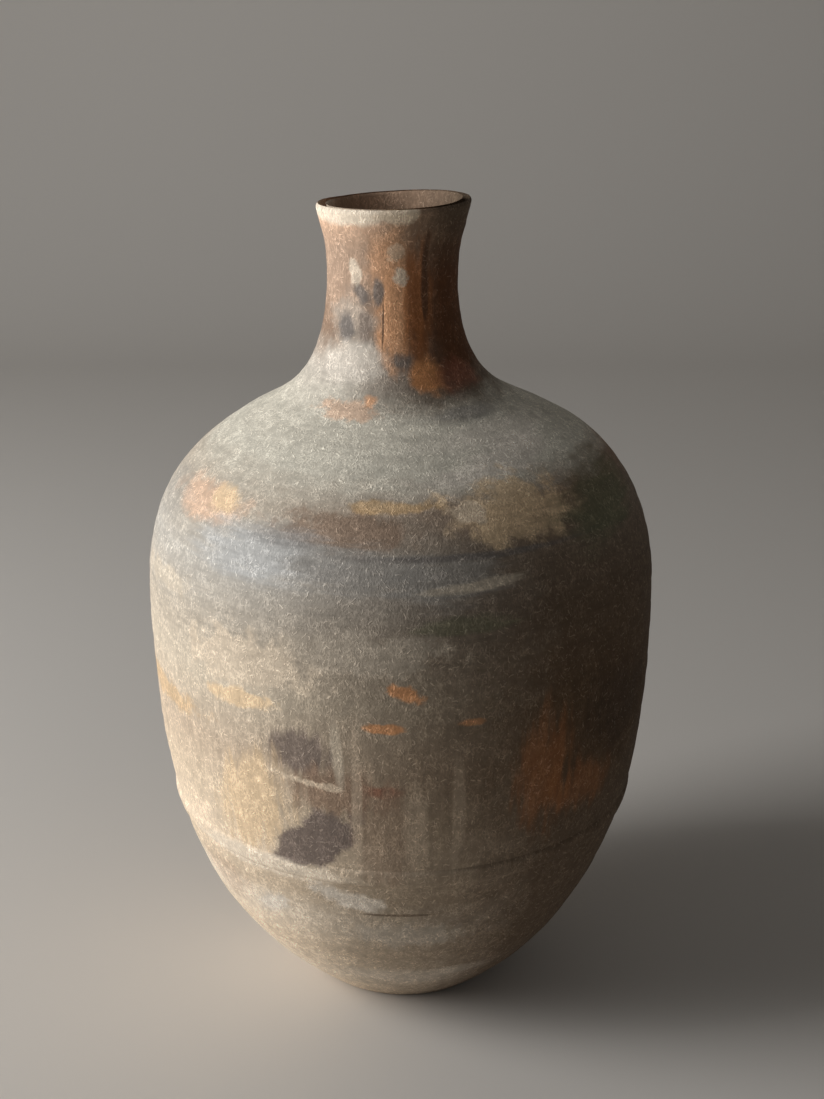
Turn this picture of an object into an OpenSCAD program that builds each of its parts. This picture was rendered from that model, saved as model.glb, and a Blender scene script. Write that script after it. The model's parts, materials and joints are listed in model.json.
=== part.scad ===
// Narrow-necked clay water jar, standing on its foot at z = 0, with its axis on Z.
// The vessel is thrown in sections. Each section ends in a tongue or a groove, and a
// layer of slip holds it to the next one. Coils of clay are pressed over the joints.
// All sizes are in millimetres. Heights are measured on the outside, from the floor.

/* [Overall] */
// Height from the floor to the top of the rim
jar_h = 480; // [460:1:510]

/* [Foot and base] */
// Radius of the foot where the wall starts
foot_r = 56; // [50:0.5:64]
// Worn bevel round the lower edge of the foot
foot_bevel = 1.6; // [0.6:0.1:2.4]
// Thickness of the base under the inside floor
base_t = 12; // [10:0.5:14]
// Height of the joint between the base and the bowl
base_joint_z = 9; // [7.5:0.5:12]
// Width of the smoothed coil on the inside floor
base_coil_w = 12; // [8:0.5:18]
// Height to which that coil is smoothed up the wall
base_coil_z = 16; // [14.5:0.5:22]

/* [Body outline] */
// Angle at which the wall leaves the foot, from level
foot_angle = 38.5; // [34:0.5:44]
// Length over which the wall keeps that angle
foot_reach = 100; // [85:1:115]
// Radius at the widest line of the belly
belly_r = 149; // [138:0.5:162]
// Height of the widest line of the belly
belly_z = 252; // [240:1:268]
// Fullness of the belly below its widest line
belly_reach_down = 110; // [90:1:125]
// Fullness of the belly above its widest line
belly_reach_up = 83; // [70:1:90]

/* [Neck outline] */
// Distance from the neck's root up to the top of the rim
neck_h = 113; // [104:1:122]
// Radius at the neck's root, where the outline changes its bend
root_r = 71.5; // [66:0.5:77]
// Slope of the outline at the root, from upright
root_angle = 62.5; // [56:0.5:68]
// Fullness of the shoulder below the root
root_reach_down = 36; // [28:1:42]
// Hollow of the neck above the root
root_reach_up = 28; // [22:1:34]
// Smallest outside radius of the neck
waist_r = 37; // [33:0.5:42]
// Distance from the narrowest line of the neck up to the top of the rim
waist_drop = 42; // [36:1:50]
// Straightness of the neck below its narrowest line
waist_reach_down = 36; // [28:1:42]
// Straightness of the neck above its narrowest line
waist_reach_up = 19; // [14:1:24]
// Outside radius of the rim
rim_r = 43.2; // [40:0.2:47]
// Flare of the neck at the rim, from upright
rim_angle = 13.5; // [8:0.5:18]
// Length over which the rim keeps that flare
rim_reach = 15; // [10:1:18]

/* [Wall] */
// Wall thickness at the foot
wall_foot = 10; // [8.5:0.5:11.5]
// Wall thickness from the seam up to the neck's root
wall_body = 8; // [6.5:0.5:10]
// Wall thickness of the neck and the rim
wall_neck = 6; // [5:0.2:7.6]

/* [Joints] */
// Thickness of the slip in each joint
slip_t = 0.8; // [0.6:0.1:1.4]
// Height of the tongue in each joint
tongue_h = 3; // [1.5:0.5:4.5]
// Height of the seam between the bowl and the belly
seam_z = 130; // [112:1:150]
// Height of the joint between the belly and the shoulder
dome_z = 292; // [280:1:304]
// Distance of the neck's joint above the neck's root
neck_joint_rise = 6; // [3:0.5:10]
// Depth of the rim's joint below the top of the rim
rim_h = 15; // [11:0.5:20]

/* [Coils] */
// Height of the raised band over the seam
band_h = 12; // [9:0.5:16]
// How far the band stands out from the wall
band_rise = 1.5; // [0.8:0.1:2.5]
// Height of the coils pressed over the joints inside
inner_coil_h = 18; // [13:0.5:24]
// How far the inside coils stand out from the wall
inner_coil_rise = 3; // [1.5:0.5:5]
// Reach of the neck's outside coil below and above its joint
root_coil_reach = 15; // [11:0.5:17]
// Depth of the groove that the neck's outside coil fills
root_coil_depth = 3; // [2:0.2:3.6]

/* [Hidden] */
// Steps that round off one of the outline's curves, the rim's edge and a coil
CURVE_STEPS = 20;
EDGE_STEPS = 12;
COIL_STEPS = 10;
// Halvings in a search for a height, and the least height between two levels
HALVINGS = 26;
LEAST_STEP = 1.2;
$fn = 96;

root_z = jar_h - neck_h;
waist_z = jar_h - waist_drop;
// The wall ends below the top, by the height of the rim's rounded edge
rim_end_z = jar_h - wall_neck / 2 * (1 + sin(rim_angle));
neck_joint_z = root_z + neck_joint_rise;
rim_joint_z = jar_h - rim_h;

band_low = seam_z - band_h / 2;
band_high = seam_z + band_h / 2;
root_coil_low = neck_joint_z - root_coil_reach;
root_coil_high = neck_joint_z + root_coil_reach;

// The outline is four curves, each with a start, two handles and an end

function from_level(angle) = [cos(angle), sin(angle)];
function from_upright(angle) = [sin(angle), cos(angle)];

FOOT = [foot_r, 0];
BELLY = [belly_r, belly_z];
ROOT = [root_r, root_z];
WAIST = [waist_r, waist_z];
RIM = [rim_r, rim_end_z];
UP = [0, 1];

BOWL_CURVE = [
    FOOT, FOOT + foot_reach * from_level(foot_angle),
    BELLY - belly_reach_down * UP, BELLY
];
SHOULDER_CURVE = [
    BELLY, BELLY + belly_reach_up * UP,
    ROOT - root_reach_down * from_upright(-root_angle), ROOT
];
NECK_CURVE = [
    ROOT, ROOT + root_reach_up * from_upright(-root_angle),
    WAIST - waist_reach_down * UP, WAIST
];
FLARE_CURVE = [
    WAIST, WAIST + waist_reach_up * UP,
    RIM - rim_reach * from_upright(rim_angle), RIM
];

function along(curve, t) =
    let (s = 1 - t)
    s * s * s * curve[0] + 3 * s * s * t * curve[1]
    + 3 * s * t * t * curve[2] + t * t * t * curve[3];

function heading(curve, t) =
    let (
        s = 1 - t,
        way = s * s * (curve[1] - curve[0]) + 2 * s * t * (curve[2] - curve[1])
            + t * t * (curve[3] - curve[2])
    )
    way / norm(way);

function curve_at(z) =
    z < belly_z ? BOWL_CURVE : z < root_z ? SHOULDER_CURVE : z < waist_z ? NECK_CURVE : FLARE_CURVE;

// How far along a curve the height z comes
function share_at(curve, z, low = 0, high = 1, left = HALVINGS) =
    let (middle = (low + high) / 2)
    left == 0 ? middle
    : along(curve, middle)[1] < z ? share_at(curve, z, middle, high, left - 1)
    : share_at(curve, z, low, middle, left - 1);

// The point at this depth below the outside, square to it, at height z on the outside
function under_skin(z, depth) =
    let (
        curve = curve_at(z),
        t = share_at(curve, z),
        way = heading(curve, t)
    )
    along(curve, t) + depth * [-way[1], way[0]];

function wall_at(z) =
    lookup(z, [[0, wall_foot], [seam_z, wall_body], [root_z, wall_body], [waist_z, wall_neck]]);

// A hump from 0 over 1 to 0 between two heights
function hump(z, low, high) =
    z <= low || z >= high ? 0 : 1 - pow((2 * z - low - high) / (high - low), 2);

// The same with a flat top and steep sides
function flat_hump(z, low, high) =
    z <= low || z >= high ? 0 : 1 - pow((2 * z - low - high) / (high - low), 4);

// The outside of the wall itself, which is hollowed where the neck's coil is pressed in
function outer(z) = under_skin(z, root_coil_depth * hump(z, root_coil_low, root_coil_high));
function inner(z) = under_skin(z, wall_at(z));
function tip(z) = (outer(z + tongue_h) + inner(z + tongue_h)) / 2;

// The height on the outside at which the inside face is as high as z
function level_for_inside(z, low = 0, high = belly_z, left = HALVINGS) =
    let (middle = (low + high) / 2)
    left == 0 ? middle
    : inner(middle)[1] < z ? level_for_inside(z, middle, high, left - 1)
    : level_for_inside(z, low, middle, left - 1);

floor_edge_z = level_for_inside(base_t);

// Heights at which every piece has a corner, so that neighbours share their faces

JOINTS = [base_joint_z, seam_z, dome_z, neck_joint_z, rim_joint_z];

MARKS = concat(
    [for (z = JOINTS) each [z - slip_t / 2, z + slip_t / 2]],
    [for (z = [seam_z, dome_z]) each [z - inner_coil_h / 2, z + inner_coil_h / 2]],
    [foot_bevel, base_coil_z, band_low, band_high, root_coil_low, root_coil_high, rim_end_z]
);

ROUND_LEVELS = [
    for (curve = [BOWL_CURVE, SHOULDER_CURVE, NECK_CURVE, FLARE_CURVE])
    for (i = [1:CURVE_STEPS])
    along(curve, i / CURVE_STEPS)[1]
];

FREE_LEVELS = [
    for (z = ROUND_LEVELS)
    if (min([for (mark = MARKS) abs(mark - z)]) > LEAST_STEP) z
];

function sorted(list) =
    len(list) < 2 ? list
    : let (pivot = list[floor(len(list) / 2)])
    concat(
        sorted([for (v = list) if (v < pivot) v]),
        [for (v = list) if (v == pivot) v],
        sorted([for (v = list) if (v > pivot) v])
    );

LEVELS = sorted(concat(MARKS, FREE_LEVELS));

TINY = 0.001;
function levels(low, high) =
    concat([low], [for (z = LEVELS) if (z > low + TINY && z < high - TINY) z], [high]);

function backwards(list) = [for (i = [len(list) - 1:-1:0]) list[i]];
function outside(low, high) = [for (z = levels(low, high)) outer(z)];
function inside_down(high, low) = backwards([for (z = levels(low, high)) inner(z)]);

// Parts that more than one piece uses

// A wall between two joints, with a groove below and a tongue above
module wall_section(joint_below, joint_above) {
    low = joint_below + slip_t / 2;
    high = joint_above - slip_t / 2;
    rotate_extrude()
        polygon(concat(outside(low, high), [tip(high)], inside_down(high, low), [tip(low)]));
}

// The slip between a tongue and its groove
module joint_slip(joint) {
    low = joint - slip_t / 2;
    high = joint + slip_t / 2;
    rotate_extrude()
        polygon([outer(low), outer(high), tip(high), inner(high), inner(low), tip(low)]);
}

// A coil pressed over a joint on the inside
module inner_coil(joint) {
    low = joint - inner_coil_h / 2;
    high = joint + inner_coil_h / 2;
    free_face = [
        for (i = [1:COIL_STEPS - 1])
        let (z = low + (high - low) * i / COIL_STEPS)
        under_skin(z, wall_at(z) + inner_coil_rise * hump(z, low, high))
    ];
    rotate_extrude() polygon(concat(inside_down(high, low), free_face));
}

// Base: the bottom of the jar, with its edge pinched up to take the bowl
module base_dish() {
    high = base_joint_z - slip_t / 2;
    underside = [[0, 0], [foot_r - foot_bevel, 0]];
    inside_floor = [[0, inner(floor_edge_z)[1]]];
    color("#84735c")
        rotate_extrude()
        polygon(concat(
            underside, outside(foot_bevel, high), [tip(high)],
            inside_down(high, floor_edge_z), inside_floor
        ));
}

module base_joint_slip() {
    color("#6e6250") joint_slip(base_joint_z);
}

// Coil smoothed into the corner between the inside floor and the wall
module base_inner_coil() {
    corner = inner(floor_edge_z);
    start = corner - [base_coil_w, 0];
    end = inner(base_coil_z);
    // The free face sags half way from the straight line to the corner
    sag = ((start + end) / 2 + corner) / 2;
    free_face = [
        for (i = [1:COIL_STEPS - 1])
        let (t = i / COIL_STEPS, s = 1 - t)
        s * s * end + 2 * s * t * sag + t * t * start
    ];
    wall_face = [for (z = levels(floor_edge_z, base_coil_z)) inner(z)];
    color("#7b6d5a") rotate_extrude() polygon(concat([start], wall_face, free_face));
}

// Bowl: the flaring lower part, from the base to the seam
module lower_bowl() {
    color("#857a66") wall_section(base_joint_z, seam_z);
}

module seam_joint_slip() {
    color("#6e6250") joint_slip(seam_z);
}

// Band of clay that stands out over the seam between the bowl and the belly
module seam_band() {
    free_face = [
        for (i = [1:COIL_STEPS - 1])
        let (z = band_high - band_h * i / COIL_STEPS)
        under_skin(z, -band_rise * flat_hump(z, band_low, band_high))
    ];
    color("#a99a80") rotate_extrude() polygon(concat(outside(band_low, band_high), free_face));
}

module seam_inner_coil() {
    color("#7b6d5a") inner_coil(seam_z);
}

// Belly: the full middle part, from the seam to above the widest line
module belly_wall() {
    color("#776a59") wall_section(seam_z, dome_z);
}

module shoulder_joint_slip() {
    color("#6e6250") joint_slip(dome_z);
}

module shoulder_inner_coil() {
    color("#7b6d5a") inner_coil(dome_z);
}

// Shoulder: the dome that closes the belly down to the neck
module shoulder_dome() {
    color("#7b8379") wall_section(dome_z, neck_joint_z);
}

module neck_joint_slip() {
    color("#6e6250") joint_slip(neck_joint_z);
}

// Coil that fills the hollow round the neck's root, flush with the outline
module neck_root_coil() {
    rounds = levels(root_coil_low, root_coil_high);
    hidden_face = [
        for (i = [len(rounds) - 2:-1:1]) outer(rounds[i])
    ];
    color("#7f7262")
        rotate_extrude()
        polygon(concat([for (z = rounds) under_skin(z, 0)], hidden_face));
}

// Neck: the waisted collar, from the shoulder to the rim
module neck_collar() {
    color("#7d5b43") wall_section(neck_joint_z, rim_joint_z);
}

module rim_joint_slip() {
    color("#6e6250") joint_slip(rim_joint_z);
}

// Rim: the rounded lip set on the neck
module rim_lip() {
    low = rim_joint_z + slip_t / 2;
    middle = (outer(rim_end_z) + inner(rim_end_z)) / 2;
    spoke = outer(rim_end_z) - middle;
    rounded_edge = [
        for (i = [1:EDGE_STEPS - 1])
        let (turn = 180 * i / EDGE_STEPS)
        middle + [spoke[0] * cos(turn) - spoke[1] * sin(turn), spoke[0] * sin(turn) + spoke[1] * cos(turn)]
    ];
    color("#b09c84")
        rotate_extrude()
        polygon(concat(
            outside(low, rim_end_z), rounded_edge, inside_down(rim_end_z, low), [tip(low)]
        ));
}

base_dish();
base_joint_slip();
base_inner_coil();
lower_bowl();
seam_joint_slip();
seam_band();
seam_inner_coil();
belly_wall();
shoulder_joint_slip();
shoulder_inner_coil();
shoulder_dome();
neck_joint_slip();
neck_root_coil();
neck_collar();
rim_joint_slip();
rim_lip();
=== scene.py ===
"""Looks of a clay water jar: worn slip, bare clay, throwing marks and a hand-set neck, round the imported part."""
import json
import math
import bpy
import numpy as np
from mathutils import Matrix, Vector


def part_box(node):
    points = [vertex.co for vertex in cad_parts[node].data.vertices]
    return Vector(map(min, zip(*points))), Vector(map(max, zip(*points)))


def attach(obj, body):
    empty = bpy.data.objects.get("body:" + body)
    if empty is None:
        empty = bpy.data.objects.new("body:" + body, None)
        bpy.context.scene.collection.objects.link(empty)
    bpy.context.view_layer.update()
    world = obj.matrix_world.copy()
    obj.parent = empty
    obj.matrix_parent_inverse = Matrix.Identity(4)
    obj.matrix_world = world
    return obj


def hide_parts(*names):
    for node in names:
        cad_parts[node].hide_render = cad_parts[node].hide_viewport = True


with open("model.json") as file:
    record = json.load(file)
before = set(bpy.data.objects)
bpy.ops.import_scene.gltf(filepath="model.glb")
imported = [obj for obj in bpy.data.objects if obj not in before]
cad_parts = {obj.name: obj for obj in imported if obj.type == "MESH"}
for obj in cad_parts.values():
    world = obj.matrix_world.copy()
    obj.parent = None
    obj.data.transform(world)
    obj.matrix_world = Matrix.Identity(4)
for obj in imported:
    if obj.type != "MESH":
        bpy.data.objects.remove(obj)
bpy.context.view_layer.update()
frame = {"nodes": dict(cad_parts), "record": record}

MM = 0.001
BODY = "root"

# Camera: it stands in front of the jar, looks down at it and is turned a little to the right
CAMERA_PLACE = (0.0, -0.950, 0.6136)
CAMERA_DOWN = math.radians(19.741)
CAMERA_RIGHT = math.radians(0.378)
CAMERA_LENS_MM = 55.49
SENSOR_MM = 36.0


def make_camera():
    data = bpy.data.cameras.new("camera")
    data.sensor_width = SENSOR_MM
    data.lens = CAMERA_LENS_MM
    camera = bpy.data.objects.new("camera", data)
    camera.location = CAMERA_PLACE
    camera.rotation_euler = (math.pi / 2 - CAMERA_DOWN, 0, -CAMERA_RIGHT)
    bpy.context.scene.collection.objects.link(camera)
    bpy.context.scene.camera = camera


# Cross-sections, read from the frame

# A point counts as lying on the meridian that a solid was turned from when it is this near to it
ON_MERIDIAN = 1e-6
# Coordinates are merged when they agree to this length
MERGE = 1e-6


def cross_section(node):
    """The (radius, height) points that the node's solid was turned from, in order round its edge."""
    mesh = frame["nodes"][node].data
    coords = np.array([v.co for v in mesh.vertices])
    on_line = (np.abs(coords[:, 1]) < ON_MERIDIAN) & (coords[:, 0] > ON_MERIDIAN)
    keys = [tuple(np.round(c[[0, 2]] / MERGE).astype(int)) for c in coords]
    beside = {}
    for edge in mesh.edges:
        a, b = edge.vertices
        if on_line[a] and on_line[b] and keys[a] != keys[b]:
            beside.setdefault(keys[a], set()).add(keys[b])
            beside.setdefault(keys[b], set()).add(keys[a])
    ends = [key for key in beside if len(beside[key]) == 1]
    start = min(ends or beside, key=lambda key: (key[1], key[0]))
    loop = [start]
    while True:
        onward = [key for key in sorted(beside[loop[-1]]) if key not in loop]
        if not onward:
            break
        loop.append(onward[0])
    points = np.array(loop) * MERGE
    area = np.sum(points[:, 0] * np.roll(points[:, 1], -1) - np.roll(points[:, 0], -1) * points[:, 1])
    return points if area > 0 else points[::-1]


WALL_NODES = (
    "base_dish", "base_joint_slip", "lower_bowl", "seam_joint_slip", "belly_wall", "shoulder_joint_slip",
    "shoulder_dome", "neck_joint_slip", "neck_root_coil", "neck_collar", "rim_joint_slip", "rim_lip",
)
SECTIONS = {node: cross_section(node) for node in frame["nodes"]}
TOP = float(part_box("rim_lip")[1].z)
FLOOR_LEVEL = float(SECTIONS["base_inner_coil"][:, 1].min())
FINE_STEP = 0.25 * MM
HEIGHTS = np.arange(0, TOP + FINE_STEP / 2, FINE_STEP)


def crossings(node):
    """The greatest and least radius of the node's cross-section at each of HEIGHTS, or nan."""
    loop = SECTIONS[node]
    most = np.full(len(HEIGHTS), -np.inf)
    least = np.full(len(HEIGHTS), np.inf)
    for (r0, z0), (r1, z1) in zip(loop, np.roll(loop, -1, axis=0)):
        low, high = sorted((z0, z1))
        inside = (HEIGHTS >= low - MERGE) & (HEIGHTS <= high + MERGE)
        share = (HEIGHTS[inside] - z0) / (z1 - z0) if abs(z1 - z0) > MERGE else 0.0
        radius = r0 + (r1 - r0) * np.clip(share, 0, 1)
        most[inside] = np.maximum(most[inside], radius)
        least[inside] = np.minimum(least[inside], radius)
    return most, least


# The curves are drawn smoothly through points that lie this far apart
KNOT_STEP = 9 * MM
# Below and above these heights the foot's bevel and the rim's rounded edge are kept as they are
SMOOTH_FROM = 2 * MM
SMOOTH_TO = TOP - 4 * MM


def smoothed(radius):
    """The radius at each of HEIGHTS, with the corners of the frame's short chords taken out."""
    count = max(4, round((SMOOTH_TO - SMOOTH_FROM) / KNOT_STEP))
    knots = np.linspace(SMOOTH_FROM, SMOOTH_TO, count)
    values = np.interp(knots, HEIGHTS, radius)
    slopes = np.gradient(values, knots)
    which = np.clip(np.searchsorted(knots, HEIGHTS) - 1, 0, count - 2)
    step = knots[1] - knots[0]
    t = (HEIGHTS - knots[which]) / step
    curve = (
        (2 * t**3 - 3 * t**2 + 1) * values[which]
        + (t**3 - 2 * t**2 + t) * step * slopes[which]
        + (3 * t**2 - 2 * t**3) * values[which + 1]
        + (t**3 - t**2) * step * slopes[which + 1]
    )
    kept = (HEIGHTS < SMOOTH_FROM) | (HEIGHTS > SMOOTH_TO)
    return np.where(kept, radius, curve)


def wall_curves():
    found = [crossings(node) for node in WALL_NODES]
    outer = np.max([most for most, _ in found], axis=0)
    inner = np.min([least for _, least in found], axis=0)
    inner[HEIGHTS < FLOOR_LEVEL] = 0.0
    return outer, inner


OUTER_AS_PACKED, INNER_AS_PACKED = wall_curves()
OUTER = smoothed(OUTER_AS_PACKED)
OUTER_SLOPE = np.gradient(OUTER, HEIGHTS)

# Soft noise in space, from a table of random values that repeats

TABLE_SIZE = 64
NOISE_TABLE = np.random.default_rng(7).uniform(-1, 1, (TABLE_SIZE,) * 3).astype(np.float32)


def soft_noise(x, y, z, cell, seed=0):
    """Smooth random values from -1 to 1, with features about as large as cell, a length or three of them."""
    sizes = np.broadcast_to(np.asarray(cell, float), (3,))
    shift = np.random.default_rng(seed).uniform(0, TABLE_SIZE, 3)
    scaled = [axis / size + move for axis, size, move in zip((x, y, z), sizes, shift)]
    base = [np.floor(axis).astype(int) for axis in scaled]
    part = [axis - low for axis, low in zip(scaled, base)]
    fade = [t * t * t * (t * (6 * t - 15) + 10) for t in part]
    total = 0.0
    for corner in range(8):
        bits = (corner & 1, corner >> 1 & 1, corner >> 2 & 1)
        index = tuple((low + bit) % TABLE_SIZE for low, bit in zip(base, bits))
        weight = 1.0
        for bit, t in zip(bits, fade):
            weight = weight * (t if bit else 1 - t)
        total = total + weight * NOISE_TABLE[index]
    return total


def ramp(value, low, high):
    """From 0 at low to 1 at high, with soft ends."""
    t = np.clip((value - low) / (high - low), 0, 1)
    return t * t * (3 - 2 * t)


# How the jar departs from a true round

# The middle of the wall lies this far towards +X at these heights: the neck was set on a little to the left
SHIFT_HEIGHTS = np.array([0, 18, 70, 130, 250, 325, 348, 362, 376, 400, 440, 480]) * MM
SHIFTS = np.array([1.2, 0.9, -0.6, 0.3, -0.4, -0.4, 0.5, -2.0, -4.0, -4.8, -4.5, -3.7]) * MM
# The rim rises and falls by this at these azimuths, from the back over the left, front and right
RIM_AZIMUTHS = np.radians([-180, -135, -90, -60, 0, 50, 90, 135, 180])
RIM_RISES = np.array([-1.0, -2.2, -1.8, -1.2, 0.2, 1.0, 1.9, 1.0, -1.0]) * MM
RIM_RISE_FROM = 425 * MM


def rim_rise(azimuth):
    return np.interp(azimuth, RIM_AZIMUTHS, RIM_RISES)


def relief(x, y, z, azimuth):
    """How far the outside stands out from its smooth curve."""
    form = 0.45 * soft_noise(x, y, z, 75 * MM, 1)
    hand = 0.22 * soft_noise(x, y, z, (34 * MM, 34 * MM, 26 * MM), 2)
    rings = 0.20 * soft_noise(x, y, z + 6 * MM * azimuth / math.pi, (90 * MM, 90 * MM, 6.5 * MM), 3)
    strokes = 0.09 * soft_noise(x, y, z, (45 * MM, 45 * MM, 2.6 * MM), 4)
    grain = 0.07 * soft_noise(x, y, z, 3.4 * MM, 5)
    return (form + hand + rings + strokes + grain) * MM


def shaped(azimuth, radius, height):
    """Places of the points at these azimuths, radii and heights of the frame, in the jar's real, uneven form."""
    outer = np.interp(height, HEIGHTS, OUTER_AS_PACKED)
    inner = np.interp(height, HEIGHTS, INNER_AS_PACKED)
    smooth = np.interp(height, HEIGHTS, OUTER)
    slope = np.interp(height, HEIGHTS, OUTER_SLOPE)
    depth = np.clip((outer - radius) / np.maximum(outer - inner, MM), 0, 1)
    near_skin = 1 - depth
    radius = radius + (smooth - outer) * near_skin
    x = radius * np.sin(azimuth)
    y = -radius * np.cos(azimuth)
    z = height + 0 * azimuth
    out = relief(x, y, z, azimuth) * near_skin * ramp(height, 0, 4 * MM)
    lean = 1 / np.sqrt(1 + slope**2)
    radial = out * lean
    x = x + radial * np.sin(azimuth) + np.interp(height, SHIFT_HEIGHTS, SHIFTS)
    y = y - radial * np.cos(azimuth)
    z = z - out * lean * slope + rim_rise(azimuth) * ramp(height, RIM_RISE_FROM, TOP)
    return np.stack([x, y, z], axis=-1)


AROUND = 720
AZIMUTHS = np.linspace(-math.pi, math.pi, AROUND, endpoint=False)


def spaced(loop, closed, fine, coarse):
    """The cross-section with more points: fine apart on the outside of the wall, coarse elsewhere."""
    ends = np.roll(loop, -1, axis=0) if closed else np.vstack([loop[1:], loop[-1:]])
    points = []
    for start, end in zip(loop, ends):
        on_skin = all(abs(r - np.interp(z, HEIGHTS, OUTER_AS_PACKED)) < 2.0 * MM for r, z in (start, end))
        length = float(np.hypot(*(end - start)))
        count = max(1, round(length / (fine if on_skin else coarse)))
        points += [start + (end - start) * i / count for i in range(count)]
    return np.array(points)


SHARP = math.radians(38)


def mesh_object(name, points, quads, triangles=()):
    mesh = bpy.data.meshes.new(name)
    mesh.from_pydata(points, [], list(quads) + list(triangles))
    mesh.shade_smooth()
    mesh.set_sharp_from_angle(angle=SHARP)
    piece = bpy.data.objects.new(name, mesh)
    bpy.context.scene.collection.objects.link(piece)
    return piece


def turned(name, node, fine=1.4 * MM, coarse=6 * MM):
    """A piece turned from its node's cross-section, in its real form."""
    loop = SECTIONS[node]
    closed = node != "base_dish"
    loop = spaced(loop, closed, fine, coarse)
    rows = len(loop)
    points = shaped(AZIMUTHS[None, :], loop[:, :1], loop[:, 1:])
    index = np.arange(rows * AROUND).reshape(rows, AROUND)
    beside = np.roll(index, -1, axis=1)
    if closed:
        above, above_beside = np.roll(index, -1, axis=0), np.roll(beside, -1, axis=0)
        quads = np.stack([index, beside, above_beside, above], axis=-1)
        piece = mesh_object(name, points.reshape(-1, 3), quads.reshape(-1, 4).tolist())
    else:
        quads = np.stack([index[:-1], beside[:-1], beside[1:], index[1:]], axis=-1)
        poles = [points[0].mean(axis=0), points[-1].mean(axis=0)]
        all_points = np.vstack([points.reshape(-1, 3), poles])
        under, over = len(all_points) - 2, len(all_points) - 1
        fans = [(under, b, a) for a, b in zip(index[0], beside[0])]
        fans += [(over, a, b) for a, b in zip(index[-1], beside[-1])]
        piece = mesh_object(name, all_points, quads.reshape(-1, 4).tolist(), fans)
    print(name, "rows", rows, "faces", len(piece.data.polygons))
    return piece


STEPS = {
    "base_dish": (1.2, 4), "lower_bowl": (1.4, 7), "belly_wall": (1.4, 8), "shoulder_dome": (1.2, 6),
    "neck_root_coil": (1.0, 2), "neck_collar": (1.1, 2.2), "rim_lip": (0.55, 0.55), "seam_band": (0.8, 2),
}
SLOTS = {sub["node"]: sub["material_slot"] for sub in frame["record"]["subparts"]}


# Colours by a maker's names, as display values from 0 to 255

COLOURS = {
    "lime": (242, 226, 204), "cream": (236, 216, 190), "buff": (222, 202, 176), "flax": (212, 198, 177),
    "stone": (205, 185, 162), "dove": (194, 182, 165), "ash": (191, 185, 175), "mist": (203, 194, 181),
    "sage": (216, 210, 194), "silver": (232, 222, 208), "blue_grey": (192, 192, 190), "smoke": (158, 153, 146),
    "slate": (122, 116, 112), "plum": (126, 112, 104), "moss": (112, 114, 88),
    "fawn": (184, 156, 134), "sand": (240, 210, 170), "ochre": (214, 178, 130), "peach": (230, 192, 162),
    "apricot": (243, 184, 138), "orange": (226, 158, 104), "rust": (176, 112, 66), "russet": (156, 98, 76),
    "walnut": (150, 124, 104), "taupe": (130, 114, 98), "umber": (104, 87, 70), "bistre": (92, 72, 52),
    "burnt": (106, 68, 42), "soot": (62, 50, 42),
}


def linear(name):
    """A named colour in the linear values that a shader takes."""
    shares = [value / 255 for value in COLOURS[name]]
    return [share / 12.92 if share <= 0.04045 else ((share + 0.055) / 1.055) ** 2.4 for share in shares] + [1]


class Shading:
    """A node tree, with short ways to add to it."""

    def __init__(self, tree):
        self.tree = tree

    def feed(self, socket, value):
        if isinstance(value, bpy.types.NodeSocket):
            self.tree.links.new(value, socket)
        else:
            socket.default_value = value

    def add(self, kind, inputs=(), **settings):
        node = self.tree.nodes.new("ShaderNode" + kind)
        for key, value in settings.items():
            setattr(node, key, value)
        for key, value in dict(inputs).items():
            self.feed(node.inputs[key], value)
        return node

    def math(self, operation, *values):
        return self.add("Math", enumerate(values), operation=operation).outputs[0]

    def vector(self, operation, *values, out=0):
        return self.add("VectorMath", enumerate(values), operation=operation).outputs[out]

    def scaled(self, vector, factor):
        return self.add("VectorMath", {0: vector, 3: factor}, operation="SCALE").outputs[0]

    def step(self, value, low, high, to=(0, 1)):
        """Goes softly from to[0] at low to to[1] at high."""
        inputs = {"Value": value, "From Min": low, "From Max": high, "To Min": to[0], "To Max": to[1]}
        return self.add("MapRange", inputs, interpolation_type="SMOOTHSTEP").outputs[0]

    def mix(self, amount, first, second):
        return self.add("Mix", {0: amount, 6: first, 7: second}, data_type="RGBA").outputs[2]

    def noise(self, vector, scale, detail=3.0, roughness=0.55):
        """Noise that swings round 0, mostly from -1 to 1."""
        inputs = {"Vector": vector, "Scale": scale, "Detail": detail, "Roughness": roughness}
        level = self.add("TexNoise", inputs).outputs[0]
        return self.math("MULTIPLY_ADD", level, 4.0, -2.0)

    def ramp(self, value, stops):
        """A colour ramp with stops of (place, linear colour)."""
        node = self.add("ValToRGB", {"Fac": value})
        elements = node.color_ramp.elements
        for place, colour in stops[1:-1]:
            elements.new(place).color = colour
        for element, (place, colour) in ((elements[0], stops[0]), (elements[len(elements) - 1], stops[-1])):
            element.position = place
            element.color = colour
        return node.outputs[0]

    def use(self, group, **inputs):
        """Places a node group. An input's name has _ for each space."""
        node = self.add("Group", node_tree=group)
        for key, value in inputs.items():
            self.feed(node.inputs[key.replace("_", " ").title()], value)
        return node.outputs


def new_group(name, inputs, outputs):
    """A node group with inputs of (name, kind, default) and outputs of (name, kind)."""
    tree = bpy.data.node_groups.new(name, "ShaderNodeTree")
    for label, kind, default in inputs:
        socket = tree.interface.new_socket(label, in_out="INPUT", socket_type="NodeSocket" + kind)
        if default is not None:
            socket.default_value = default
    for label, kind in outputs:
        tree.interface.new_socket(label, in_out="OUTPUT", socket_type="NodeSocket" + kind)
    given = tree.nodes.new("NodeGroupInput").outputs
    results = tree.nodes.new("NodeGroupOutput").inputs
    return tree, Shading(tree), given, results


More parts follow.
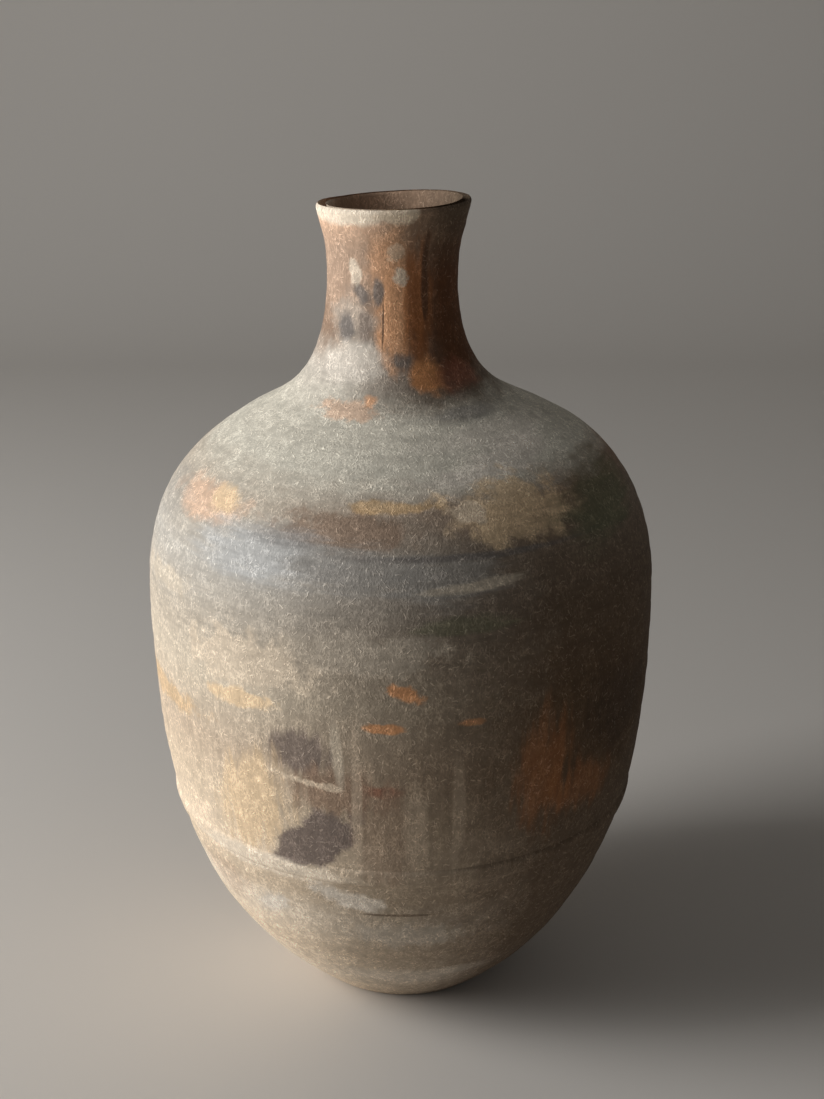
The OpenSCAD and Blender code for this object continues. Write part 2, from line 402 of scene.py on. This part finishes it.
# The neck stands this many millimetres to the left of the body, from one of these heights to the other
NECK_OFFSET = 4.5
NECK_OFFSET_FROM, NECK_OFFSET_TO = 350.0, 376.0


def place_group():
    """Where a point lies on the jar, in millimetres and degrees, and three kinds of uneven edge."""
    tree, s, _, results = new_group("place_on_jar", [], [
        ("Point", "Vector"), ("Azimuth", "Float"), ("Height", "Float"),
        ("Blotchy", "Float"), ("Brushed", "Float"), ("Dripped", "Float"),
    ])
    point = s.scaled(s.add("TexCoord").outputs["Object"], 1000.0)
    x, y, z = s.add("SeparateXYZ", {0: point}).outputs
    centred = s.math("ADD", x, s.step(z, NECK_OFFSET_FROM, NECK_OFFSET_TO, (0, NECK_OFFSET)))
    azimuth = s.math("DEGREES", s.math("ARCTAN2", centred, s.math("MULTIPLY", y, -1.0)))
    s.feed(results["Point"], point)
    s.feed(results["Azimuth"], azimuth)
    s.feed(results["Height"], z)
    s.feed(results["Blotchy"], s.noise(point, 1 / 13, 5.0, 0.62))
    s.feed(results["Brushed"], s.noise(s.vector("MULTIPLY", point, (1, 1, 7)), 1 / 40, 5.0, 0.65))
    s.feed(results["Dripped"], s.noise(s.vector("MULTIPLY", point, (1, 1, 0.14)), 1 / 6, 4.0, 0.6))
    return tree


def stain_group():
    """Lays a patch of another colour over the surface, with an uneven edge."""
    tree, s, given, results = new_group("stain", [
        ("Colour", "Color", None), ("Azimuth", "Float", 0), ("Height", "Float", 0), ("Edge", "Float", 0),
        ("Stain Colour", "Color", None), ("At Azimuth", "Float", 0), ("At Height", "Float", 0),
        ("Half Width", "Float", 10), ("Half Height", "Float", 10), ("Slope", "Float", 0),
        ("Ragged", "Float", 0.3), ("Soft", "Float", 0.3), ("Amount", "Float", 1),
    ], [("Colour", "Color")])
    across = s.math("SUBTRACT", given["Azimuth"], given["At Azimuth"])
    up = s.math("SUBTRACT", given["Height"], given["At Height"])
    up = s.math("SUBTRACT", up, s.math("MULTIPLY", across, given["Slope"]))
    across = s.math("DIVIDE", across, given["Half Width"])
    up = s.math("DIVIDE", up, given["Half Height"])
    reach = s.math("SQRT", s.math("ADD", s.math("MULTIPLY", across, across), s.math("MULTIPLY", up, up)))
    reach = s.math("MULTIPLY_ADD", given["Edge"], given["Ragged"], reach)
    inside = s.step(reach, s.math("ADD", 1.0, given["Soft"]), s.math("SUBTRACT", 1.0, given["Soft"]))
    amount = s.math("MULTIPLY", inside, given["Amount"])
    s.feed(results["Colour"], s.mix(amount, given["Colour"], given["Stain Colour"]))
    return tree


# The clay and slip from the foot to the rim, in millimetres, on the jar's pale left and its dark right; the dark
# right is partly the clay's own darker colour and partly painted shade on the side away from the key light
PALE_FACE = (
    (0, "buff"), (30, "lime"), (65, "cream"), (95, "lime"), (112, "buff"), (135, "cream"), (168, "buff"),
    (200, "stone"), (238, "flax"), (268, "dove"), (300, "ash"), (335, "dove"), (352, "sage"), (368, "sage"),
    (390, "mist"), (412, "walnut"), (432, "fawn"), (455, "fawn"), (474, "peach"),
)
# The dark right's colours: partly the clay's own, partly painted shade away from the key light
DARK_AND_SHADED_FACE = (
    (0, "taupe"), (60, "umber"), (140, "umber"), (190, "bistre"), (232, "bistre"), (285, "umber"),
    (318, "taupe"), (336, "walnut"), (350, "sage"), (368, "sage"), (380, "taupe"), (395, "burnt"),
    (440, "burnt"), (474, "umber"),
)
# How much of the dark right's colours is laid on round the jar, by azimuth: partly the clay's own darker side,
# partly painted shade away from the key light at azimuth -80
DARK_AND_SHADE_ROUND = (
    (-180, 0.35), (-140, 0.50), (-105, 0.15), (-85, 0.0), (-40, 0.0), (-28, 0.12), (-15, 0.38), (0, 0.55),
    (12, 0.70), (22, 0.86), (35, 1.0), (100, 1.0), (140, 0.7), (180, 0.35),
)
RAMP_TOP = 480.0
# On the neck the dark, which is partly painted shade, begins this many degrees further round
NECK_TURN = 12.0


def ground_group():
    """The clay and slip under the stains: their colour changes with the height and round the jar; the darker side
    away from the key light is partly the clay's own colour and partly painted shade.
    """
    tree, s, given, results = new_group("ground", [
        ("Azimuth", "Float", 0), ("Height", "Float", 0), ("Blotchy", "Float", 0), ("Brushed", "Float", 0),
    ], [("Colour", "Color")])
    uneven = s.math("MULTIPLY_ADD", given["Blotchy"], 3.0, given["Height"])
    level = s.math("DIVIDE", s.math("MULTIPLY_ADD", given["Brushed"], 4.0, uneven), RAMP_TOP)
    pale = s.ramp(level, [(height / RAMP_TOP, linear(name)) for height, name in PALE_FACE])
    dark = s.ramp(level, [(height / RAMP_TOP, linear(name)) for height, name in DARK_AND_SHADED_FACE])
    turned_back = s.math("SUBTRACT", given["Azimuth"], s.step(given["Height"], 380.0, 400.0, (0, NECK_TURN)))
    uneven = s.math("MULTIPLY_ADD", given["Blotchy"], 5.0, turned_back)
    round_jar = s.math("ADD", s.math("DIVIDE", uneven, 360.0), 0.5)
    # Mixes towards the dark right's colours round the jar: partly the clay's own darker side, partly painted shade
    stops = [((azimuth + 180) / 360, (share, share, share, 1)) for azimuth, share in DARK_AND_SHADE_ROUND]
    s.feed(results["Colour"], s.mix(s.ramp(s.math("FRACT", round_jar), stops), pale, dark))
    return tree


def stroke_group():
    """Short curved strokes, or specks where the length is as small as the width, strewn over the surface."""
    tree, s, given, results = new_group("strokes", [
        ("Point", "Vector", None), ("Spacing", "Float", 6), ("Half Length", "Float", 1.5),
        ("Half Width", "Float", 0.3), ("Share", "Float", 0.5),
    ], [("Mask", "Float")])
    bent = s.add("TexNoise", {"Vector": given["Point"], "Scale": 0.3, "Detail": 1.0}).outputs["Color"]
    point = s.vector("ADD", given["Point"], s.scaled(bent, 3.0))
    scale = s.math("DIVIDE", 1.0, given["Spacing"])
    cells = s.add("TexVoronoi", {"Vector": point, "Scale": scale}, feature="F1").outputs
    normal = s.add("NewGeometry").outputs["Normal"]

    def along_surface(vector):
        lift = s.vector("DOT_PRODUCT", vector, normal, out=1)
        return s.vector("SUBTRACT", vector, s.scaled(normal, lift))

    offset = along_surface(s.vector("SUBTRACT", point, cells["Position"]))
    heading = s.vector("SUBTRACT", cells["Color"], (0.5, 0.5, 0.5))
    heading = s.vector("NORMALIZE", along_surface(heading))
    side = s.vector("CROSS_PRODUCT", normal, heading)
    along = s.vector("DOT_PRODUCT", offset, heading, out=1)
    across = s.math("ABSOLUTE", s.vector("DOT_PRODUCT", offset, side, out=1))
    along = s.math("ABSOLUTE", along)
    wide = s.step(across, given["Half Width"], s.math("MULTIPLY", given["Half Width"], 0.3))
    long = s.step(along, given["Half Length"], s.math("MULTIPLY", given["Half Length"], 0.7))
    luck = s.add("SeparateColor", {0: cells["Color"]}).outputs[1]
    drawn = s.math("LESS_THAN", luck, given["Share"])
    s.feed(results["Mask"], s.math("MULTIPLY", s.math("MULTIPLY", wide, long), drawn))
    return tree


def worn_group():
    """Streaks, the net of fine pale worn lines, strokes, specks and pits, and the relief that goes with them."""
    tree, s, given, results = new_group("worn_surface", [
        ("Colour", "Color", None), ("Point", "Vector", None), ("Height", "Float", 0), ("Blotchy", "Float", 0),
        ("Streaks", "Float", 0.16), ("Lines", "Float", 0.5), ("Strokes", "Float", 0.7), ("Pits", "Float", 0.5),
    ], [("Colour", "Color"), ("Roughness", "Float"), ("Relief", "Float")])
    point, height = given["Point"], given["Height"]
    upright = s.math("ADD", s.step(height, 265.0, 225.0), s.step(height, 385.0, 405.0))
    level = s.noise(s.vector("MULTIPLY", point, (1, 1, 9)), 1 / 22, 4.0, 0.65)
    hanging = s.noise(s.vector("MULTIPLY", point, (1, 1, 0.1)), 1 / 3.2, 4.0, 0.6)
    hanging = s.math("MULTIPLY", hanging, upright)
    level = s.math("MULTIPLY", level, s.math("SUBTRACT", 1.0, upright))
    streak = s.math("ADD", hanging, level)
    stretched = s.vector("MULTIPLY", point, (1, 1, 0.55))
    net = s.math("ABSOLUTE", s.noise(stretched, 1 / 2.0, 2.0, 0.5))
    lines = s.step(net, 0.34, 0.04)
    where = s.step(s.noise(point, 1 / 9, 2.0), -0.9, 0.9)
    lines = s.math("MULTIPLY", s.math("MULTIPLY", lines, where), given["Lines"])
    pits = s.step(s.noise(point, 1 / 2.6, 2.0, 0.6), 0.75, 1.35)
    pits = s.math("MULTIPLY", pits, given["Pits"])
    colour = s.scaled(given["Colour"], s.math("MULTIPLY_ADD", streak, given["Streaks"], 1.0))
    mottled = s.math("MULTIPLY_ADD", s.noise(point, 1 / 4.5, 3.0, 0.7), 0.10, 1.0)
    colour = s.scaled(colour, mottled)
    colour = s.scaled(colour, s.math("SUBTRACT", 1.0, s.math("MULTIPLY", pits, 0.55)))
    lifted = s.vector("ADD", s.scaled(colour, 1.9), (0.05, 0.042, 0.034))
    colour = s.mix(lines, colour, lifted)
    long = s.use(STROKES, point=point, spacing=6.0, half_length=1.7, half_width=0.42, share=0.42)["Mask"]
    short = s.use(STROKES, point=point, spacing=3.4, half_length=0.9, half_width=0.34, share=0.45)["Mask"]
    moved = s.vector("ADD", point, (31, 17, 5))
    dots = s.use(STROKES, point=moved, spacing=7.0, half_length=0.5, half_width=0.5, share=0.5)
    marks = s.math("MAXIMUM", s.math("MAXIMUM", long, s.math("MULTIPLY", short, 0.75)), dots["Mask"])
    marks = s.math("MULTIPLY", marks, given["Strokes"])
    bright = s.vector("ADD", s.scaled(colour, 1.6), (0.14, 0.12, 0.095))
    colour = s.mix(marks, colour, bright)
    s.feed(results["Colour"], colour)
    s.feed(results["Roughness"], s.math("MULTIPLY_ADD", given["Blotchy"], 0.05, 0.80))
    relief = s.math("ADD", s.math("MULTIPLY", lines, 0.5), marks)
    relief = s.math("SUBTRACT", relief, s.math("MULTIPLY", pits, 1.4))
    s.feed(results["Relief"], s.math("ADD", relief, s.math("MULTIPLY", s.noise(point, 1 / 1.4, 2.0), 0.25)))
    return tree


PLACE = place_group()
STAIN = stain_group()
GROUND = ground_group()
STROKES = stroke_group()
WORN = worn_group()


def stain(
    colour, azimuth, height, half_width, half_height,
    slope=0.0, edge="Blotchy", ragged=0.35, soft=0.3, amount=1.0,
):
    """One patch: its middle in degrees round the jar and millimetres up, and its half sizes in the same."""
    return {
        "colour": colour, "at_azimuth": azimuth, "at_height": height, "half_width": half_width,
        "half_height": half_height, "slope": slope, "edge": edge, "ragged": ragged, "soft": soft, "amount": amount,
    }


DRIP = {"edge": "Dripped"}
BRUSH = {"edge": "Brushed"}
STAINS = [
    # Rim: a worn cream band, which thins out to the right
    stain("lime", -52, 478, 60, 8, ragged=0.18, soft=0.25),
    stain("cream", 2, 477, 16, 5, ragged=0.5, soft=0.3),
    # Neck: rust and orange clay, slate smears and pale flecks
    stain("apricot", -2, 452, 18, 16, ragged=0.4, soft=0.5, amount=0.55),
    stain("apricot", 0, 420, 14, 24, ragged=0.4, soft=0.4, amount=0.85, **DRIP),
    stain("rust", 22, 425, 11, 30, ragged=0.5, soft=0.5, amount=0.8, **DRIP),
    stain("orange", 24, 390, 12, 9, ragged=0.5, soft=0.4, amount=0.95),
    stain("russet", 48, 388, 18, 8, ragged=0.5, soft=0.5, amount=0.7),
    stain("mist", -36, 414, 22, 16, ragged=0.6, soft=0.5, amount=0.5),
    stain("slate", -42, 413, 9, 7, ragged=0.6, soft=0.4, amount=0.85),
    stain("slate", -27, 432, 9, 4.5, slope=-0.4, ragged=0.6, soft=0.4, amount=0.8),
    stain("slate", -12, 433, 4.5, 8, ragged=0.6, soft=0.35, amount=0.85),
    stain("plum", -23, 415, 6, 9, ragged=0.7, soft=0.4, amount=0.6),
    stain("silver", -32, 396, 24, 9, ragged=0.4, soft=0.5, amount=0.8),
    stain("lime", -34, 445, 5, 7, ragged=0.8, soft=0.3, amount=0.75),
    stain("lime", 7, 443, 6, 5, ragged=0.8, soft=0.3, amount=0.8),
    stain("cream", 4, 457, 8, 5, ragged=0.9, soft=0.3, amount=0.5),
    stain("slate", 6, 397, 7, 4, ragged=0.6, soft=0.4, amount=0.65),
    stain("soot", 28, 436, 3.5, 22, edge="Dripped", ragged=0.7, soft=0.4, amount=0.7),
    stain("soot", -8, 417, 0.8, 13, edge="Dripped", ragged=0.1, soft=0.5, amount=0.8),
    stain("peach", -22, 373, 16, 5, ragged=0.9, soft=0.3, amount=0.7),
    stain("apricot", -13, 378, 4, 3, ragged=0.7, soft=0.4, amount=0.8),
    # Shoulder: sage slip, brushed level, with worn ochre places
    stain("silver", 46, 362, 32, 4, slope=0.05, ragged=0.5, soft=0.5, amount=0.5, **BRUSH),
    stain("silver", 32, 352, 26, 5, slope=0.25, ragged=0.6, soft=0.5, amount=0.8, **BRUSH),
    stain("smoke", 38, 371, 18, 3, ragged=0.6, soft=0.5, amount=0.7, **BRUSH),
    stain("peach", -58, 327, 16, 8, ragged=0.5, soft=0.4, amount=0.75),
    stain("sand", -49, 331, 5, 6, ragged=0.6, soft=0.4, amount=0.8),
    stain("walnut", -14, 326, 15, 9, ragged=0.6, soft=0.3, amount=0.75),
    stain("ochre", -2, 338, 12, 2.5, ragged=0.8, soft=0.4, amount=0.7),
    stain("sand", 28, 333, 16, 13, ragged=0.7, soft=0.35, amount=0.8),
    stain("cream", 17, 335, 5, 5, ragged=0.9, soft=0.3, amount=0.8),
    stain("smoke", -75, 322, 12, 12, ragged=0.5, soft=0.5, amount=0.4, **BRUSH),
    stain("blue_grey", -33, 312, 18, 13, ragged=0.4, soft=0.5, amount=0.85, **BRUSH),
    stain("slate", -28, 322, 9, 4, ragged=0.6, soft=0.5, amount=0.45, **BRUSH),
    stain("smoke", -9, 310, 14, 11, ragged=0.5, soft=0.4, amount=0.85, **BRUSH),
    stain("smoke", 10, 305, 12, 11, ragged=0.5, soft=0.4, amount=0.8, **BRUSH),
    stain("slate", 18, 315.5, 26, 1.6, ragged=0.4, soft=0.5, amount=0.7, **BRUSH),
    stain("flax", 17, 302, 9, 3, slope=0.2, ragged=0.7, soft=0.4, amount=0.7, **BRUSH),
    stain("moss", 60, 326, 17, 16, slope=0.3, ragged=0.4, soft=0.5, amount=0.75, **BRUSH),
    stain("moss", 14, 282, 9, 4, ragged=0.6, soft=0.4, amount=0.55, **BRUSH),
    # Belly: pale speckled band, worn ochre bars and drips
    stain("cream", -34, 252, 14, 17, ragged=0.8, soft=0.3, amount=0.5),
    stain("dove", -8, 268, 14, 10, ragged=0.7, soft=0.4, amount=0.6),
    stain("flax", -64, 282, 14, 6, ragged=0.8, soft=0.3, amount=0.6),
    stain("sand", -36, 232, 9, 5, slope=0.1, ragged=0.6, soft=0.3, amount=0.8),
    stain("ochre", -68, 212, 16, 7, ragged=0.8, soft=0.4, amount=0.55),
    stain("orange", 0.5, 246, 3.5, 4, slope=-0.7, ragged=0.8, soft=0.3, amount=0.75),
    stain("orange", -4, 226, 3.6, 2.8, ragged=0.5, soft=0.3, amount=0.75),
    stain("orange", 14, 228, 3, 2.0, ragged=0.5, soft=0.4, amount=0.5),
    stain("russet", -4, 188, 5, 3.6, ragged=0.5, soft=0.4, amount=0.7),
    stain("plum", -22, 207, 7, 13, ragged=0.5, soft=0.3, amount=0.85, **DRIP),
    stain("walnut", -14, 185, 11, 14, ragged=0.5, soft=0.35, amount=0.8, **DRIP),
    stain("sand", -35, 168, 9, 30, slope=1.2, ragged=0.5, soft=0.35, amount=0.7, **DRIP),
    stain("plum", -20, 150, 11, 17, slope=1.5, ragged=0.35, soft=0.18, amount=0.95),
    stain("walnut", -4, 160, 6, 30, ragged=0.6, soft=0.4, amount=0.4, **DRIP),
    stain("stone", -9.6, 180, 1.1, 46, ragged=0.25, soft=0.4, amount=0.55, **DRIP),
    stain("flax", -13.4, 208, 1.4, 17, slope=-6.0, ragged=0.2, soft=0.4, amount=0.6),
    stain("cream", -20, 190, 6, 2.2, slope=-0.4, ragged=1.2, soft=0.3, amount=0.6),
    stain("stone", 3, 165, 2.5, 24, ragged=0.6, soft=0.4, amount=0.5, **DRIP),
    stain("stone", 12, 172, 1.5, 34, ragged=0.5, soft=0.4, amount=0.35, **DRIP),
    stain("rust", 32, 190, 7, 30, ragged=0.6, soft=0.5, amount=0.45, **DRIP),
    stain("rust", 44, 172, 9, 14, ragged=0.6, soft=0.5, amount=0.35, **DRIP),
    stain("soot", 56, 212, 12, 26, ragged=0.7, soft=0.5, amount=0.4, **DRIP),
    # Bowl: the wash below the seam and the trails of the turning tool
    stain("lime", -34, 128, 22, 7, ragged=0.25, soft=0.25, amount=0.9),
    stain("silver", -13, 113, 9, 6, slope=-0.5, ragged=0.6, soft=0.4, amount=0.75),
    stain("silver", -36, 96, 6, 7, slope=0.8, ragged=0.6, soft=0.4, amount=0.8),
    stain("fawn", -52, 100, 8, 14, ragged=0.7, soft=0.4, amount=0.35, **DRIP),
    stain("umber", -1, 102.4, 9, 1.0, ragged=0.35, soft=0.4, amount=0.7),
    stain("mist", 2, 84, 14, 9, ragged=0.6, soft=0.5, amount=0.5, **DRIP),
    stain("silver", 3, 40, 22, 8, ragged=0.5, soft=0.5, amount=0.35, **BRUSH),
]
# A material holds the stains that come within this distance of its piece
STAIN_MARGIN = 3.0


def weathered_and_shaded(name, low, high, **wear):
    """A clay with the jar's ground, which is partly painted shade on its dark right, its stains between two
    heights in millimetres, and its wear.
    """
    material = bpy.data.materials.new(name)
    material.use_nodes = True
    s = Shading(material.node_tree)
    place = s.use(PLACE)
    azimuth, height = place["Azimuth"], place["Height"]
    blotchy, brushed = place["Blotchy"], place["Brushed"]
    # The ground colour is partly painted shade on the side away from the key light
    colour = s.use(GROUND, azimuth=azimuth, height=height, blotchy=blotchy, brushed=brushed)["Colour"]
    for patch in STAINS:
        reach = 1.6 * patch["half_height"] + abs(patch["slope"]) * 1.6 * patch["half_width"] + STAIN_MARGIN
        if patch["at_height"] - reach > high or patch["at_height"] + reach < low:
            continue
        values = {key: value for key, value in patch.items() if key not in ("colour", "edge")}
        colour = s.use(
            STAIN, colour=colour, azimuth=azimuth, height=height, edge=place[patch["edge"]],
            stain_colour=linear(patch["colour"]), **values,
        )["Colour"]
    worn = s.use(WORN, colour=colour, point=place["Point"], height=height, blotchy=blotchy, **wear)
    shader = material.node_tree.nodes["Principled BSDF"]
    s.feed(shader.inputs["Base Color"], worn["Colour"])
    s.feed(shader.inputs["Roughness"], worn["Roughness"])
    shader.inputs["Specular IOR Level"].default_value = 0.25
    bump = s.add("Bump", {"Height": worn["Relief"], "Strength": 0.7, "Distance": 0.35 * MM})
    s.feed(shader.inputs["Normal"], bump.outputs[0])
    return material


FINISHES = {}
for node in frame["nodes"]:
    low, high = (corner.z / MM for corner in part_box(node))
    FINISHES[node] = weathered_and_shaded(SLOTS[node] + "_of_" + node, low, high)


for node in frame["nodes"]:
    fine, coarse = STEPS.get(node, (1.5, 3))
    piece = turned(node + "_clay", node, fine * MM, coarse * MM)
    piece.data.materials.append(FINISHES[node])
    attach(piece, BODY)
    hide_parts(node)

# Stage and light

STAGE_COLOUR = (0.70, 0.665, 0.62)


def make_stage():
    """A floor that turns up into a backdrop in one soft bend."""
    half, front, back, bend, top = 4.0, -3.0, 1.6, 0.8, 3.2
    profile = [(front, 0.0), (back, 0.0)]
    profile += [
        (back + bend * math.sin(a), bend - bend * math.cos(a))
        for a in np.linspace(0, math.pi / 2, 17)[1:]
    ]
    profile.append((back + bend, top))
    points = [(side * half, y, z) for y, z in profile for side in (-1, 1)]
    quads = [(2 * i, 2 * i + 1, 2 * i + 3, 2 * i + 2) for i in range(len(profile) - 1)]
    stage = mesh_object("stage", points, quads)
    material = bpy.data.materials.new("stage_paper")
    material.use_nodes = True
    shader = material.node_tree.nodes["Principled BSDF"]
    shader.inputs["Base Color"].default_value = (*STAGE_COLOUR, 1)
    shader.inputs["Roughness"].default_value = 0.95
    shader.inputs["Specular IOR Level"].default_value = 0.1
    stage.data.materials.append(material)


# A softbox's power for which a white card that faces it renders as white, for each square metre of distance
POWER_FOR_WHITE = math.pi**2


def softbox(name, azimuth, elevation, distance, size, level):
    """A lamp of size (wide, tall) that faces the jar, at angles in degrees: azimuth 0 is in front and 90 to the right."""
    data = bpy.data.lights.new(name, "AREA")
    data.shape = "RECTANGLE"
    data.size, data.size_y = size
    data.energy = POWER_FOR_WHITE * distance**2 * level
    lamp = bpy.data.objects.new(name, data)
    a, e = math.radians(azimuth), math.radians(elevation)
    target = Vector((0, 0, TOP / 2))
    way = Vector((math.sin(a) * math.cos(e), -math.cos(a) * math.cos(e), math.sin(e)))
    lamp.location = target + way * distance
    lamp.rotation_euler = way.to_track_quat("Z", "Y").to_euler()
    bpy.context.scene.collection.objects.link(lamp)


def make_light():
    world = bpy.data.worlds.new("room")
    bpy.context.scene.world = world
    world.use_nodes = True
    world.node_tree.nodes["Background"].inputs["Color"].default_value = (1, 0.985, 0.965, 1)
    world.node_tree.nodes["Background"].inputs["Strength"].default_value = 0.10
    softbox("key", -80, 20, 2.0, (0.8, 1.7), 0.95)


make_camera()
make_stage()
make_light()
bpy.context.scene.view_settings.view_transform = "Standard"
